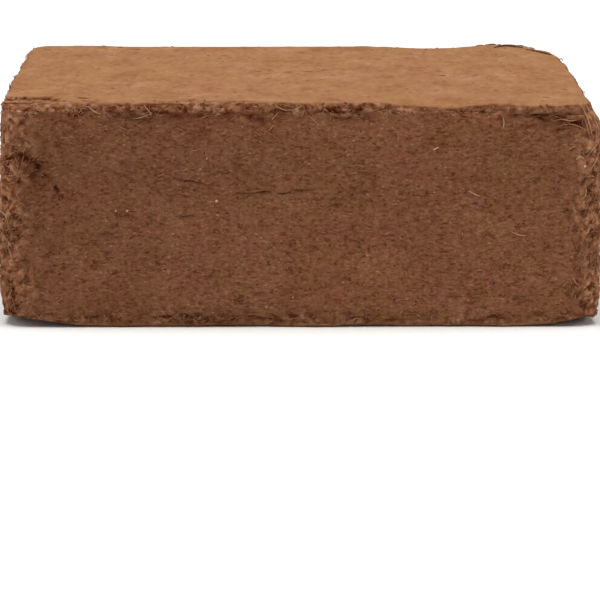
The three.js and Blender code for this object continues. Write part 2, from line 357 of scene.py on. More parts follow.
def from_line(spot, start, end):
    """How far a spot is from the line between two others."""
    run = (end[0] - start[0], end[1] - start[1])
    along = ((spot[0] - start[0]) * run[0] + (spot[1] - start[1]) * run[1]) / (run[0] ** 2 + run[1] ** 2)
    along = min(1.0, max(0.0, along))
    return math.hypot(spot[0] - start[0] - along * run[0], spot[1] - start[1] - along * run[1])


def strayed(reach, point):
    """How far a torn part's border strays at a point, given how far it wanders broadly and closely."""
    return reach[0] * rough(FRINGE, point) + reach[1] * rough(FRINGE_FINE, point)


def crack_depth(point, way):
    """How deep the cracks and gashes are at a point."""
    deepest = 0.0
    wave = Vector((point.x / CRACK["wave"], point.y / CRACK["wave"], CRACK["shift"]))
    wander = CRACK["wander"] * noise.noise(wave)
    ragged = max(CRACK["least"], CRACK["usual"] + CRACK["swing"] * rough(CLOD, point))
    for wall, cracks in CRACKS.items():
        if way.x * WALLS[wall][0] + way.y * WALLS[wall][1] < WALL:
            continue
        spot = (point.x if wall in ("front", "back") else point.y, point.z + wander)
        for start, end, half_height, depth in cracks:
            away = from_line(spot, start, end)
            if away < half_height:
                deepest = max(deepest, depth * ragged * (1 - (away / half_height) ** 2))
    return deepest


def top_tear(point):
    """How torn the top is at a point, how much is the paler upper layer, and how near a step's foot is."""
    half_x, half_y = HIGH.x / MM, HIGH.y / MM
    wander = strayed(TEAR["wander"], point)
    before = np.interp(point.x, *zip(*FRAY)) + wander - (half_y + point.y)
    beside = SIDE_FRAY + wander - min(half_x - abs(point.x), half_y - point.y)
    torn = smoothstep(*TEAR["border"], max(before, beside))
    upper = smoothstep(*TEAR["upper"], before) * (1 - smoothstep(*TEAR["upper end"], before))
    upper *= 1 - smoothstep(*TEAR["upper right"], point.x)
    foot = 0.0
    for start, end, half_width in STEPS:
        away = from_line((point.x, point.y + STEP["wander"] * wander), start, end)
        foot = max(foot, 1 - away / half_width)
    return torn, upper, min(1.0, foot * max(0.0, STEP["usual"] + STEP["swing"] * rough(MAT, point)))


def risen(x, y):
    """How far the top's swells and sags raise a place on it."""
    return sum(rise * (1 - smoothstep(0, reach, math.hypot(x - middle[0], y - middle[1])))
               for middle, reach, rise in SWELLS)


def swell(points):
    """Raise and lower the top's points by its swells and sags."""
    swollen = points.copy()
    for place in np.ndindex(points.shape[:-1]):
        x, y, z = points[place] / MM
        share = smoothstep(TOP / MM - SWELL_FADE[0], TOP / MM - SWELL_FADE[1], z)
        if share:
            swollen[place][2] += share * risen(x, y) * MM
    return swollen


def relief(point, way, facing):
    """How far a point of the skin moves out, in millimetres, and the shares its finish and fibres go by."""
    top, half_x, half_y = TOP / MM, HIGH.x / MM, HIGH.y / MM
    wall = math.hypot(way.x, way.y)
    up = way.z > UP
    rear = smoothstep(*REAR, way.y)
    edge = max(0.0, 1 - abs(wall - EDGE) / EDGE_SPREAD)
    calm = 1 - (1 - CALM_SIDES) * min(1.0, abs(way.x) / wall) if wall > 0.01 else 1.0

    # the worn parts, and how far up or down over the edge the point lies
    from_edge = max(0.0, min(point.z, top - point.z)) + strayed(BAND["wander"], point)
    from_corner = math.hypot(half_x - abs(point.x), half_y - abs(point.y)) + strayed(SHAG["wander"], point)
    band = wall * calm * (1 - smoothstep(BAND["full"], BAND["end"], from_edge))
    shag = wall * (1 - smoothstep(SHAG["full"], SHAG["end"], from_corner))
    ragged = max(band, shag)
    tear, upper, foot = top_tear(point) if up else (0.0, 0.0, 0.0)
    tear *= smoothstep(*TEAR["rounding"], way.z)
    burr = 0.0
    if up:
        burr = smoothstep(*BURR["tilt"], wall)
        burr *= smoothstep(*BURR["x"], point.x) * smoothstep(*BURR["y"], point.y)
    clod = rough(CLOD, point)
    down = min(abs(point.z), max(0.0, top + risen(point.x, point.y) - point.z))
    down += PRESSED["down strays"] * clod
    bitten = max(0.0, rough(CHIP, point) + CHIP["common"]) * CHIP["depth"]
    bitten *= edge * calm * (1 - FEW_BITES * rear)

    # holes of every kind, and how far all of it moves the point
    gap = band * opened(GAP, point)
    pit = max(shag, PITS_IN_BAND * band) * opened(PIT, point)
    split = (1 - ragged) * opened(SPLIT, point) if wall > UPRIGHT else 0.0
    cracked = crack_depth(point, way) if wall > WALL else 0.0
    hollow = min(1.0, cracked / CRACK["dark"])
    holes = GAP["depth"] * gap + PIT["depth"] * pit + SPLIT["depth"] * split + cracked - SHAG_SWELL * shag
    grain = sum(kind["depth"] * rough(kind, point) for kind in (BROAD, MAT, GRAIN))
    grain += ragged * CLOD["depth"] * clod
    flat = sum(kind["depth"] * rough(kind, point) for kind in (FACE_MAT, FACE_BROAD)) if up else 0.0
    moved = (grain - holes) * wall + flat * (1 - wall) * (1 - edge) - bitten
    torn_rough = TEAR_ROUGH - UPPER_SMOOTHER * upper
    moved += tear * (1 - wall) * (torn_rough * clod - TEAR_SUNK) - foot * STEP["depth"]

    # the finish: pressed where the skin faces up or down, as far as the mould reached over the edge
    over = 0.0
    if up or wall > WALL and point.z > top / 2:
        over = 1 - PRESSED["shoulder less"] * smoothstep(*PRESSED["shoulder front"], point.y)
        over = max(0.0, way.x * over)
    start, whole = (at + give * over for at, give in PRESSED["facing"])
    pressed = smoothstep(start, whole, abs(facing.z) + PRESSED["facing strays"] * clod)
    start, end = (at + give * over for at, give in PRESSED["down"])
    pressed *= 1 - smoothstep(start, end, down + bitten)
    shown = pressed * (1 - tear * (PRESSED["torn off"] - PRESSED["upper stays"] * upper))
    # painted shade from the hollows, the shaded band under the front's top edge and the parts that face up
    shaded = np.interp(point.x, *zip(*SHADED)) if way.y < FRONT else 0.0
    shaded *= smoothstep(top - SHADED_FADE[0], top - SHADED_FADE[1], point.z) * wall
    dark = {"gap": gap, "pit": pit, "split": split, "crack": cracked / CRACK["dark"], "foot": foot,
            "bitten": bitten, "burr": burr, "shaded": shaded, "low": wall * (1 - smoothstep(*LOW, point.z)),
            "edge": (1 - shown) * (1 - over) * smoothstep(*FACES_UP, facing.z)}
    bare = 1 - FEWER["bare"] * max(hollow, pressed)
    fringed = band * (1 - edge) * bare * (1 - CALM_BACK * rear)
    notes = {
        "pressed": shown,
        "painted_shade": min(1.0, max(0.0, sum(SHADE_SHARES[kind] * share for kind, share in dark.items()))),
        "torn": max(ragged, tear),
        "crumbled": max(ragged * bare * (1 - FEWER["edge"] * edge), ON_TOP["crumbled"] * tear),
        "band": max(fringed, ON_TOP["band"] * tear * (1 - upper)),
        "shag": shag * bare,
        "wall": (1 - pressed) * (1 - FEWER["torn wall"] * ragged),
        "face": pressed * (1 - tear) if up else 0.0,
        "burr": burr,
    }
    return moved, notes


def roughen(points, outs, normals):
    """Move every point by its relief, and collect the notes."""
    moved = points.copy()
    collected = {}
    for place in np.ndindex(points.shape[:-1]):
        way = Vector(outs[place])
        push, notes = relief(Vector(points[place]) / MM, way, Vector(normals[place]))
        moved[place] += outs[place] * push * MM
        for name, value in notes.items():
            collected.setdefault(name, np.zeros(points.shape[:-1]))[place] = value
    return moved, collected


def flat_spots(reach, patches):
    """A loose grid over the middle of a pressed face, and a finer one over some patches of it."""
    spots = []
    areas = [(-reach, reach, -reach, reach, FLAT_GRID)]
    areas += [tuple(limit * MM for limit in patch) + (FINE_GRID,) for patch in patches]
    inset = reach - CORNER
    for x0, x1, y0, y1, step in areas:
        for i, x in enumerate(spaced(x0, x1 + step, step)):
            for j, y in enumerate(spaced(y0, y1 + step, step)):
                shake = Vector((noise.noise(Vector((i * 3.7, j * 2.9, 1.3))),
                                noise.noise(Vector((i * 2.3, 6.1, j * 4.1)))))
                spot = Vector((x, y)) + shake * step * GRID_SHAKE
                outside = math.hypot(max(0.0, abs(spot.x) - inset), max(0.0, abs(spot.y) - inset))
                if outside < CORNER:
                    spots.append(spot)
    return spots


def fill_flat(ring, spots):
    """The faces that fill a ring of points, over the spots inside it: they number the ring's points first."""
    count = len(ring)
    edges = [(i, (i + 1) % count) for i in range(count)]
    _, _, faces, sources, _, _ = delaunay_2d_cdt([Vector(p[:2]) for p in ring] + spots, edges, [], 1, WELD)
    order = [source[0] for source in sources]
    return [tuple(order[v] for v in face) for face in faces]


def closed_mesh(name, points, notes, fills):
    """One closed mesh of the grid and its two fills, with its notes as attributes."""
    row_count, width = points.shape[:2]
    verts = [tuple(p) for p in points.reshape(-1, 3)]
    values = {key: list(note.ravel()) for key, note in notes.items()}
    faces = []
    for row in range(row_count - 1):
        for column in range(width):
            near, far = row * width + column, row * width + (column + 1) % width
            faces.append((near, far, far + width, near + width))
    for row, (inner, inner_notes, fill) in zip((0, row_count - 1), fills):
        start = len(verts)
        verts += [tuple(p) for p in inner]
        for key, note in inner_notes.items():
            values[key] += list(note)
        faces += [tuple(row * width + v if v < width else start + v - width for v in face) for face in fill]
    mesh = bpy.data.meshes.new(name)
    mesh.from_pydata(verts, [], faces)
    for key, note in values.items():
        mesh.attributes.new(key, "FLOAT", "POINT").data.foreach_set("value", np.array(note, dtype=np.float32))
    tidy = bmesh.new()
    tidy.from_mesh(mesh)
    bmesh.ops.recalc_face_normals(tidy, faces=tidy.faces)
    tidy.to_mesh(mesh)
    tidy.free()
    mesh.shade_smooth()
    return mesh


def skin_meshes(solid):
    """The bale's skin twice over: smooth, for fibres to be laid on, and roughened, to be shown."""
    rows = profile()
    points, outs = lay_grid(solid, rows)
    base = swell(soften(points, rows))
    shown, notes = roughen(base, outs, grid_normals(base))
    reach = min(HIGH.x, HIGH.y) - FLAT_INSET - FLAT_GRID * GRID_CLEAR
    smooth_fills, shown_fills = [], []
    for row, way, patches in ((0, -1.0, []), (-1, 1.0, FINE_PATCHES)):
        spots = flat_spots(reach, patches)
        cast = [solid.ray_cast((s.x, s.y, TOP / 2), (0, 0, way), TOP)[0] for s in spots]
        smooth = swell(np.array([tuple(hit) for hit in cast]))
        flat = np.tile((0.0, 0.0, way), (len(spots), 1))
        rough_spots, inner_notes = roughen(smooth, flat, flat)
        faces = fill_flat(base[row], spots)
        smooth_fills.append((smooth, inner_notes, faces))
        shown_fills.append((rough_spots, inner_notes, faces))
    return (closed_mesh("bale_surface", base, notes, smooth_fills),
            closed_mesh("bale_skin", shown, notes, shown_fills))


# Finishes

COLOURS = {"out": 2, "data_type": "RGBA"}      # a Mix node's settings for colours


def plain_material(name):
    """An empty node material."""
    material = bpy.data.materials.new(name)
    material.use_nodes = True
    material.node_tree.nodes.clear()
    return material, material.node_tree


def tinted(tree, colour, *tints):
    """A colour multiplied by tints."""
    for tint in tints:
        colour = add(tree, "Mix", {0: 1.0, 6: colour, 7: tint}, blend_type="MULTIPLY", **COLOURS)
    return colour


def summed(tree, *patterns):
    """Patterns added up by their shares."""
    total = 0.0
    for share, pattern in patterns:
        total = add(tree, "Math", {0: pattern, 1: share, 2: total}, operation="MULTIPLY_ADD")
    return total


def between_tints(tree, value, low, high, first, second):
    """One tint where a value is low, another where it is high, and a blend of them between."""
    share = add(tree, "MapRange", {"Value": value, "From Min": low, "From Max": high})
    return add(tree, "Mix", {0: share, 6: linear(first), 7: linear(second)}, **COLOURS)


def lower_down_shade(tree, spot):
    """Painted shade: white high up on the bale, and a little darker lower down, where less light gets between
    the fibres.
    """
    height = add(tree, "SeparateXYZ", {0: spot}, out="Z")
    return between_tints(tree, height, 50 * MM, 108 * MM, "#e6e0db", "#ffffff")


def flat_bits(tree, spot, sizes, core, rim):
    """Flattened bits of these sizes: 1 near the middle of each, 0 beyond its rim, and a number of its own."""
    bits = add(tree, "Mapping", {"Vector": spot, "Scale": per_mm(*sizes)})
    bits = add(tree, "TexVoronoi", {"Vector": bits, "Scale": 1.0}, feature="F1")
    own = add(tree, "SeparateColor", {"Color": bits.node.outputs["Color"]})
    return add(tree, "MapRange", {"Value": bits, "From Min": core, "From Max": rim, "To Min": 1.0,
                                  "To Max": 0.0}), own


def rare_bits(tree, spot, sizes, core, rim, rarest):
    """The same, of only some of the bits: those whose number is high."""
    bits, own = flat_bits(tree, spot, sizes, core, rim)
    rare = add(tree, "MapRange", {"Value": own, "From Min": rarest[0], "From Max": rarest[1]})
    return add(tree, "Math", {0: bits, 1: rare}, operation="MULTIPLY")


def wall_finish(tree, spot):
    """The walls' colour, and the grain it is made from."""
    # crumbs of 1 to 2 mm, short level streaks, flattened bits of husk in their own shades, broad patches
    grit = add(tree, "TexNoise", {"Vector": spot, "Scale": per_mm(1.5), "Detail": 3.0, "Roughness": 0.62})
    level = add(tree, "Mapping", {"Vector": spot, "Scale": per_mm(2.9, 2.9, 1.3)})
    streaks = add(tree, "TexNoise", {"Vector": level, "Scale": 1.0, "Detail": 2.0, "Roughness": 0.6})
    broad = add(tree, "TexNoise", {"Vector": spot, "Scale": per_mm(17.0), "Detail": 2.0})
    broad = add(tree, "MapRange", {"Value": broad, "To Min": 0.15, "To Max": 0.85})
    husk, own = flat_bits(tree, spot, (2.4, 2.4, 1.15), 0.25, 0.42)
    own = add(tree, "Math", {0: own, 1: 0.5}, operation="SUBTRACT")
    shade = add(tree, "Math", {0: own, 1: husk, 2: 0.5}, operation="MULTIPLY_ADD")
    grain = summed(tree, (0.29, grit), (0.36, streaks), (0.21, shade), (0.20, broad))
    wall = add(tree, "ValToRGB", {"Fac": grain}, stops=[
        (0.38, "#562a14"), (0.47, "#72472f"), (0.56, "#80553d"), (0.64, "#8e634a"), (0.73, "#a98166")])

    # scattered dark red-brown dashes: painted shade in level gaps between the flattened bits, and specks of
    # bark
    gaps = add(tree, "Mapping", {"Vector": spot, "Scale": per_mm(4.4, 4.4, 2.0)})
    gaps = add(tree, "TexVoronoi", {"Vector": gaps, "Scale": 1.0}, feature="DISTANCE_TO_EDGE")
    gaps = add(tree, "MapRange", {"Value": gaps, "From Min": 0.02, "From Max": 0.16, "To Min": 1.0,
                                  "To Max": 0.0})
    some = add(tree, "Mapping", {"Vector": spot, "Scale": per_mm(5.5, 5.5, 2.6)})
    some = add(tree, "TexNoise", {"Vector": some, "Scale": 1.0, "Detail": 2.0})
    some = add(tree, "MapRange", {"Value": some, "From Min": 0.54, "From Max": 0.66})
    gaps = add(tree, "Math", {0: gaps, 1: some}, operation="MULTIPLY")
    bark = rare_bits(tree, spot, (4.5, 4.5, 2.0), 0.10, 0.30, (0.6, 0.9))
    dashes = add(tree, "Math", {0: gaps, 1: bark}, operation="MAXIMUM")
    wall = add(tree, "Mix", {0: dashes, 6: wall, 7: linear("#623217")}, **COLOURS)

    # patches of a few millimetres lean to red where there is more pith, to olive where there is more fibre;
    # the walls are a little darker towards the left end of the bale, and in a broad belt above the middle
    patches = add(tree, "TexNoise", {"Vector": spot, "Scale": per_mm(8.0), "Detail": 2.0})
    patches = between_tints(tree, patches, 0.35, 0.65, "#fffafd", "#fafff2")
    place = add(tree, "SeparateXYZ", {0: spot}).node
    left = between_tints(tree, place.outputs["X"], -110 * MM, 20 * MM, "#f0efee", "#ffffff")
    height = add(tree, "MapRange", {"Value": place.outputs["Z"], "From Max": TOP})
    belt = add(tree, "ValToRGB", {"Fac": height}, stops=[
        (0.3, "#ffffff"), (0.5, "#fbfbfb"), (0.68, "#f7f7f7"), (0.84, "#f7f7f6"), (0.93, "#ffffff")])
    return tinted(tree, wall, patches, left, belt), grain


def torn_finish(tree, spot):
    """The torn places' colour: a jumble of crumbs and broken bits, pale ones on dark gaps whose darkness is
    painted shade.
    """
    crumbs = add(tree, "TexNoise", {"Vector": spot, "Scale": per_mm(3.2), "Detail": 2.0, "Roughness": 0.6})
    broken = add(tree, "TexVoronoi", {"Vector": spot, "Scale": per_mm(2.2)}, out="Color", feature="F1")
    broken = add(tree, "SeparateColor", {"Color": broken})
    jumble = add(tree, "ValToRGB", {"Fac": summed(tree, (0.8, crumbs), (0.2, broken))}, stops=[
        (0.32, "#5d2c10"), (0.43, "#855639"), (0.54, "#9e7152"), (0.68, "#ba8e71")])
    # painted shade: a little darker lower down
    return tinted(tree, jumble, lower_down_shade(tree, spot))


def pressed_finish(tree, spot):
    """The pressed faces' colour: broad blotches, and flakes and flecks that are longer from front to back,
    redder and more olive, with sparse short dark dashes, the ends of fibres pressed flat."""
    long = add(tree, "Mapping", {"Vector": spot, "Scale": (1.0, 0.32, 1.0)})
    wide = add(tree, "Mapping", {"Vector": spot, "Scale": (1.0, 0.5, 1.0)})
    blotch = add(tree, "TexNoise", {"Vector": wide, "Scale": per_mm(19.0), "Detail": 2.0, "Roughness": 0.55})
    flake = add(tree, "TexNoise", {"Vector": long, "Scale": per_mm(4.5), "Detail": 2.0, "Roughness": 0.5})
    fleck = add(tree, "TexNoise", {"Vector": long, "Scale": per_mm(2.2), "Detail": 1.0})
    mottle = summed(tree, (0.46, blotch), (0.34, flake), (0.20, fleck))
    face = add(tree, "ValToRGB", {"Fac": mottle}, stops=[
        (0.34, "#8a5a38"), (0.46, "#976948"), (0.54, "#9d704e"), (0.66, "#a87d5c")])
    ends = rare_bits(tree, spot, (5.0, 11.0, 5.0), 0.08, 0.38, (0.62, 0.95))
    face = add(tree, "Mix", {0: ends, 6: face, 7: linear("#83512e")}, **COLOURS)
    lean = add(tree, "TexNoise", {"Vector": wide, "Scale": per_mm(24.0), "Detail": 2.0})
    return tinted(tree, face, between_tints(tree, lean, 0.38, 0.62, "#fffbf9", "#fdfff2"))


def pressed_coir():
    """Coir pith pressed in a mould: a matt, crumbly brown, with painted shade in its pits and cracks. Its
    pressed faces are smoother and paler, partly because the mould flattened the pith and the fibres there,
    and partly as
    painted shade: the rougher walls are coloured darker and redder for their small shadows and the light
    bouncing in their pores."""
    material, tree = plain_material("pressed_coir_pith")
    spot = add(tree, "TexCoord", out="Object")
    torn, pressed, painted_shade = (add(tree, "Attribute", out="Fac", attribute_name=name)
                           for name in ("torn", "pressed", "painted_shade"))
    colour, grain = wall_finish(tree, spot)
    for share, finish in ((torn, torn_finish), (pressed, pressed_finish)):
        colour = add(tree, "Mix", {0: share, 6: colour, 7: finish(tree, spot)}, **COLOURS)

    # painted shade: pits, gaps, cracks and the other shaded places are darker and redder, as little light
    # comes back out of them
    deep = tinted(tree, colour, linear("#98623b"))
    colour = add(tree, "Mix", {0: painted_shade, 6: colour, 7: deep}, **COLOURS)

    # the pressed faces are nearly smooth
    uneven = add(tree, "MapRange", {"Value": pressed, "To Min": 0.42, "To Max": 0.04})
    bump = add(tree, "Bump", {"Strength": uneven, "Distance": 0.8 * MM, "Height": grain})
    shader = add(tree, "BsdfPrincipled", {"Base Color": colour, "Roughness": 0.95, "IOR": 1.45,
                                          "Specular IOR Level": 0.1, "Normal": bump})
    add(tree, "OutputMaterial", {"Surface": shader})
    return material


def coir_fibre():
    """Coir, the husk's own fibre: fine, wiry and matt, from dark red-brown to straw where it has bleached."""
    material, tree = plain_material("coir_fibre")
    tone = add(tree, "Attribute", out="Fac", attribute_name="tone")
    shades = add(tree, "ValToRGB", {"Fac": tone}, stops=[
        (0.0, "#481d08"), (0.25, "#6e3f21"), (0.5, "#946344"), (0.75, "#b08363"), (1.0, "#d3af92")])

    # tufts of a few millimetres are darker or paler together, and painted shade makes the fibres a little
    # darker lower down on the bale
    spot = add(tree, "TexCoord", out="Object")
    tufts = add(tree, "TexNoise", {"Vector": spot, "Scale": per_mm(6.0), "Detail": 1.0})
    tufts = between_tints(tree, tufts, 0.35, 0.65, "#c8b8ad", "#ffffff")
    shades = tinted(tree, shades, tufts, lower_down_shade(tree, spot))
    shader = add(tree, "BsdfPrincipled", {"Base Color": shades, "Roughness": 0.85, "IOR": 1.5,
                                          "Specular IOR Level": 0.2})
    add(tree, "OutputMaterial", {"Surface": shader})
    return material


# Loose fibres and crumbs

# The trees' inputs, which are decimal numbers unless SOCKETS says otherwise, and which of them are lengths
FIBRE_INPUTS = ("Surface", "Material", "Where", "Per square metre", "Shortest", "Longest", "Thickness",
                "Curl", "Curl length", "Rise", "Sink", "Slant", "Bends", "Flattest", "Darkest", "Palest",
                "Rarity", "Seed")
CRUMB_INPUTS = ("Surface", "Material", "Where", "Per square metre", "Smallest", "Largest", "Darkest",
                "Palest", "Rarity", "Seed")
STRAND_INPUTS = ("Lines", "Step", "Material")
SOCKETS = {"Surface": "Geometry", "Lines": "Geometry", "Material": "Material", "Where": "String",
           "Bends": "Int", "Seed": "Int"}
LENGTHS = ("Shortest", "Longest", "Thickness", "Curl", "Curl length", "Rise", "Sink", "Smallest", "Largest")

# Each kind of fibre and crumb, by the trees' inputs from Where to Seed, with the lengths in millimetres
FIBRES = {
    # where it grows, how many a square metre; shortest, longest, thickness, curl and its length, rise, sink;
    # slant in radians, bends, how level a surface it still lies on; darkest, palest, rarity, seed
    "wall_fibres": ("wall", 90000.0, 1.2, 4.5, 0.36, 1.1, 3.0, 0.30, 0.25, 0.7, 3, 0.7, 0.28, 0.82, 2.3, 11),
    "corner_fibres": ("shag", 700000.0, 2.0, 6.5, 0.5, 2.8, 4.0, 0.6, 0.9, 1.5, 6, 0.8, 0.3, 0.78, 1.3, 23),
    "edge_fibres": ("band", 400000.0, 2.0, 5.5, 0.52, 2.4, 4.0, 0.4, 0.9, 1.3, 6, 0.7, 0.25, 0.8, 1.4, 37),
    "long_fibres": ("torn", 8000.0, 5.0, 12.0, 0.45, 4.5, 6.0, 0.7, 0.4, 1.4, 10, 0.7, 0.45, 0.9, 1.3, 43),
    "face_fibres": ("face", 9000.0, 2.0, 6.0, 0.5, 1.5, 5.0, 0.06, 0.25, 1.5, 4, 1.1, 0.6, 0.8, 0.9, 41),
    "burr_fibres": ("burr", 900000.0, 2.0, 7.0, 0.50, 1.5, 5.0, 0.35, 0.2, 0.4, 5, 1.1, 0.0, 0.35, 1.5, 53),
}
CRUMBS = {
    # where it lies and how many a square metre; smallest, largest; darkest, palest, rarity, seed
    "wall_crumbs": ("wall", 15000.0, 0.5, 1.2, 0.15, 0.9, 2.5, 61),
    "torn_crumbs": ("crumbled", 75000.0, 0.8, 1.9, 0.25, 0.56, 1.1, 67),
}

# The numbers that set the random draws apart
DRAWS = {"slant": 1.0, "size": 1.0, "length": 2.0, "tone": 3.0, "own": 4.0, "turn": 5.0, "stretch": 6.0}
SWINGS = 2.0                          # a curl's noise runs from -0.5 to 0.5, so it is taken twice
OWN_SWAY = (1.0, 0.7, -0.4)           # how far apart the fibres' own numbers set their curls
OTHER_SWAY = (0.31, 0.17, 0.53)       # from a fibre's curl to its rise and fall
HEAVES = (0.3, 0.7)                   # the noise at the lowest and the highest part of a fibre
LEVEL_KEEN = 4.0                      # only nearly level faces have their fibres lie from left to right
TAPER_KEEN, THIN_END = 4.0, -0.7      # how late a fibre thins, and by how much
STOUTNESS = (0.4, 0.3)                # half a fibre's thickness runs from the second to the sum of both
# Nothing dips below the plane that the bale rests on
FIBRE_FLOOR, CRUMB_FLOOR = (-1.0, -1.0, 0.15 * MM), (-1.0, -1.0, 0.02 * MM)
CRUMB_STRETCH, CRUMB_WIDTH, CRUMB_HEIGHT = (0.8, 1.9), 0.8, 0.5
FULL_TURN = 6.283


def new_tree(name, inputs):
    """A geometry tree with named inputs, its group input's outputs, and the inputs' identifiers."""
    tree = bpy.data.node_groups.new(name, "GeometryNodeTree")
    identifiers = {}
    for label in inputs:
        kind = "NodeSocket" + SOCKETS.get(label, "Float")
        identifiers[label] = tree.interface.new_socket(label, in_out="INPUT", socket_type=kind).identifier
    tree.interface.new_socket("Pieces", in_out="OUTPUT", socket_type="NodeSocketGeometry")
    return tree, add(tree, "NodeGroupInput").node.outputs, identifiers


def finish_tree(tree, made, material):
    """End a geometry tree: smooth shading, real meshes and the material."""
    made = add(tree, "SetShadeSmooth", {"Geometry": made})
    made = add(tree, "RealizeInstances", {"Geometry": made})
    made = add(tree, "SetMaterial", {"Geometry": made, "Material": material})
    add(tree, "NodeGroupOutput", {0: made})


def scattered(tree, given):
    """Random places on the surface, more where the named share of it is higher, and the way out there."""
    where = add(tree, "InputNamedAttribute", {"Name": given["Where"]}, data_type="FLOAT")
    density = add(tree, "Math", {0: where, 1: given["Per square metre"]}, operation="MULTIPLY")
    places = add(tree, "DistributePointsOnFaces",
                 {"Mesh": given["Surface"], "Density": density, "Seed": given["Seed"]})
    return places, places.node.outputs["Normal"]


def chance(tree, given, draw, low=0.0, high=1.0, index=None):
    """A random number, the same on every run, that differs from place to place."""
    seed = add(tree, "Math", {0: given["Seed"], 1: DRAWS[draw]}, operation="ADD")
    ids = {} if index is None else {"ID": index}
    return add(tree, "RandomValue", {2: low, 3: high, "Seed": seed, **ids}, out=1, data_type="FLOAT")


def toned(tree, given, made, domain):
    """Give each fibre or crumb a tone from the darkest to the palest, the palest being the rarest."""
    index = add(tree, "InputIndex")
    share = chance(tree, given, "tone", index=index)
    share = add(tree, "Math", {0: share, 1: given["Rarity"]}, operation="POWER")
    tone = add(tree, "Mix", {0: share, 2: given["Darkest"], 3: given["Palest"]}, data_type="FLOAT")
    return add(tree, "StoreNamedAttribute", {"Geometry": made, "Name": "tone", "Value": tone},
               data_type="FLOAT", domain=domain)


